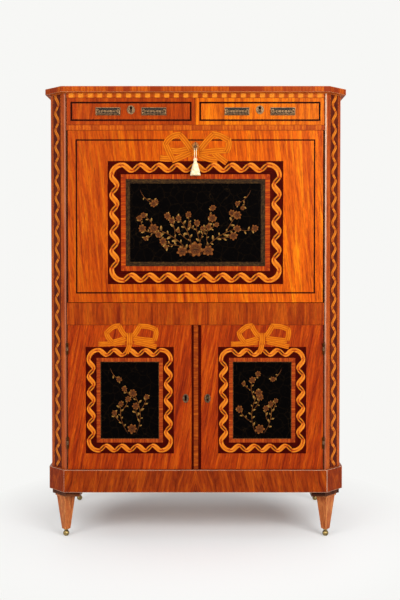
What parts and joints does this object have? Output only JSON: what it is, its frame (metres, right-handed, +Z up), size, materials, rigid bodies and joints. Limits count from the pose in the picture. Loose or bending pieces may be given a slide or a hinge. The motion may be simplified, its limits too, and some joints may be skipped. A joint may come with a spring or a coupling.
{
  "type": "escritoire",
  "caption": "Satinwood fall-front escritoire with frieze drawers, cupboard doors, canted corners, ribbon marquetry, lacquer panels and brass ball feet",
  "frame": {"origin": "centre of the bounding box at floor level", "axes": "+X to the right seen from the front, +Y to the back, +Z up"},
  "size_m": [0.97, 0.5249, 1.45],
  "materials": {
    "satinwood": "polished ripple veneer",
    "interior_satinwood": "satin polish",
    "ebonised_wood": "polished",
    "oak": "waxed",
    "brass": "patinated",
    "steel": "filed",
    "black_lacquer": "gloss lacquer with gold",
    "writing_leather": "waxed hide",
    "tassel_silk": "silk thread"
  },
  "bodies": {
    "case": {"top_board": "satinwood", "corner_posts": "satinwood", "side_panels": "satinwood", "back_panels": "oak", "frieze_rail": "satinwood", "drawer_rail": "satinwood", "mid_rail": "satinwood", "drawer_deck": "oak", "writing_deck": "interior_satinwood", "dust_board": "oak", "cupboard_floor": "oak", "drawer_partition": "oak", "cupboard_shelf": "oak", "bearers": "oak", "plinth_boards": "satinwood", "leg_blocks": "ebonised_wood", "front_legs": "satinwood", "back_legs": "satinwood", "ball_feet": "brass", "fall_pivot_sockets": "brass", "door_hinges": "brass", "pigeonhole_boards": "interior_satinwood"},
    "drawer_left": {"drawer_left_front": "satinwood", "drawer_left_box": "oak", "drawer_left_brasses": "brass"},
    "drawer_right": {"drawer_right_front": "satinwood", "drawer_right_box": "oak", "drawer_right_brasses": "brass"},
    "fall": {"fall_board": "satinwood", "fall_lacquer_panel": "black_lacquer", "fall_writing_leather": "writing_leather", "fall_pivots": "steel", "fall_lock": "brass", "fall_escutcheon": "brass"},
    "fall_lock_bolt": {"fall_bolt": "steel"},
    "key_body": {"key": "brass"},
    "cord": {"tassel_cord": "tassel_silk"},
    "tassel_body": {"tassel": "tassel_silk"},
    "door_left": {"door_left_board": "satinwood", "door_left_lacquer_panel": "black_lacquer", "door_left_brasses": "brass"},
    "door_right": {"door_right_board": "satinwood", "door_right_lacquer_panel": "black_lacquer", "door_right_brasses": "brass", "meeting_stile": "satinwood", "door_lock": "brass"},
    "door_lock_bolt": {"door_bolt": "steel"},
    "drawer_left_lock_bolt": {"drawer_left_bolt": "steel"},
    "drawer_left_handle_inner": {"drawer_left_bail_inner": "brass"},
    "drawer_left_handle_outer": {"drawer_left_bail_outer": "brass"},
    "drawer_right_lock_bolt": {"drawer_right_bolt": "steel"},
    "drawer_right_handle_inner": {"drawer_right_bail_inner": "brass"},
    "drawer_right_handle_outer": {"drawer_right_bail_outer": "brass"},
    "small_left": {"small_drawer_left": "interior_satinwood", "small_knob_left": "ebonised_wood"},
    "small_centre": {"small_drawer_centre": "interior_satinwood", "small_knob_centre": "ebonised_wood"},
    "small_right": {"small_drawer_right": "interior_satinwood", "small_knob_right": "ebonised_wood"}
  },
  "joints": [
    {"name": "drawer_left_slide", "type": "slide", "parent": "case", "child": "drawer_left", "axis": [0, -1, 0], "range_m": [0, 0.3]},
    {"name": "drawer_left_bolt_slide", "type": "slide", "parent": "drawer_left", "child": "drawer_left_lock_bolt", "axis": [0, 0, 1], "range_m": [0, 0.008]},
    {"name": "drawer_left_bail_inner_swing", "type": "hinge", "parent": "drawer_left", "child": "drawer_left_handle_inner", "pos_m": [-0.132, -0.23125, 1.3765], "axis": [-1, 0, 0], "range_deg": [0, 90]},
    {"name": "drawer_left_bail_outer_swing", "type": "hinge", "parent": "drawer_left", "child": "drawer_left_handle_outer", "pos_m": [-0.278, -0.23125, 1.3765], "axis": [-1, 0, 0], "range_deg": [0, 90]},
    {"name": "drawer_right_slide", "type": "slide", "parent": "case", "child": "drawer_right", "axis": [0, -1, 0], "range_m": [0, 0.3]},
    {"name": "drawer_right_bolt_slide", "type": "slide", "parent": "drawer_right", "child": "drawer_right_lock_bolt", "axis": [0, 0, 1], "range_m": [0, 0.008]},
    {"name": "drawer_right_bail_inner_swing", "type": "hinge", "parent": "drawer_right", "child": "drawer_right_handle_inner", "pos_m": [0.132, -0.23125, 1.3765], "axis": [-1, 0, 0], "range_deg": [0, 90]},
    {"name": "drawer_right_bail_outer_swing", "type": "hinge", "parent": "drawer_right", "child": "drawer_right_handle_outer", "pos_m": [0.278, -0.23125, 1.3765], "axis": [-1, 0, 0], "range_deg": [0, 90]},
    {"name": "fall_turn", "type": "hinge", "parent": "case", "child": "fall", "pos_m": [0, -0.21265, 0.815], "axis": [1, 0, 0], "range_deg": [0, 90]},
    {"name": "key_turn", "type": "hinge", "parent": "fall", "child": "key_body", "pos_m": [0, -0.22465, 1.261], "axis": [0, 1, 0], "range_deg": [0, 90]},
    {"name": "fall_bolt_slide", "type": "slide", "parent": "fall", "child": "fall_lock_bolt", "axis": [0, 0, 1], "range_m": [0, 0.008]},
    {"name": "cord_swing", "type": "hinge", "parent": "key_body", "child": "cord", "pos_m": [0, -0.24765, 1.25], "axis": [0, 1, 0], "range_deg": [-90, 0]},
    {"name": "tassel_swing", "type": "hinge", "parent": "cord", "child": "tassel_body", "pos_m": [0, -0.24765, 1.2165], "axis": [1, 0, 0], "range_deg": [-90, 0]},
    {"name": "door_left_turn", "type": "hinge", "parent": "case", "child": "door_left", "pos_m": [-0.4095, -0.22915, 0.4605], "axis": [0, 0, -1], "range_deg": [0, 150]},
    {"name": "door_right_turn", "type": "hinge", "parent": "case", "child": "door_right", "pos_m": [0.4095, -0.22915, 0.4605], "axis": [0, 0, 1], "range_deg": [0, 150]},
    {"name": "door_bolt_slide", "type": "slide", "parent": "door_right", "child": "door_lock_bolt", "axis": [-1, 0, 0], "range_m": [0, 0.014]},
    {"name": "small_drawer_left_slide", "type": "slide", "parent": "case", "child": "small_left", "axis": [0, -1, 0], "range_m": [0, 0.12]},
    {"name": "small_drawer_centre_slide", "type": "slide", "parent": "case", "child": "small_centre", "axis": [0, -1, 0], "range_m": [0, 0.12]},
    {"name": "small_drawer_right_slide", "type": "slide", "parent": "case", "child": "small_right", "axis": [0, -1, 0], "range_m": [0, 0.12]}
  ],
  "couplings": [
    {"joint": "key_turn", "follows": "fall_bolt_slide", "rad_per_m": 196},
    {"joint": "cord_swing", "follows": "fall_bolt_slide", "rad_per_m": -196},
    {"joint": "tassel_swing", "follows": "fall_turn", "ratio": -1}
  ]
}
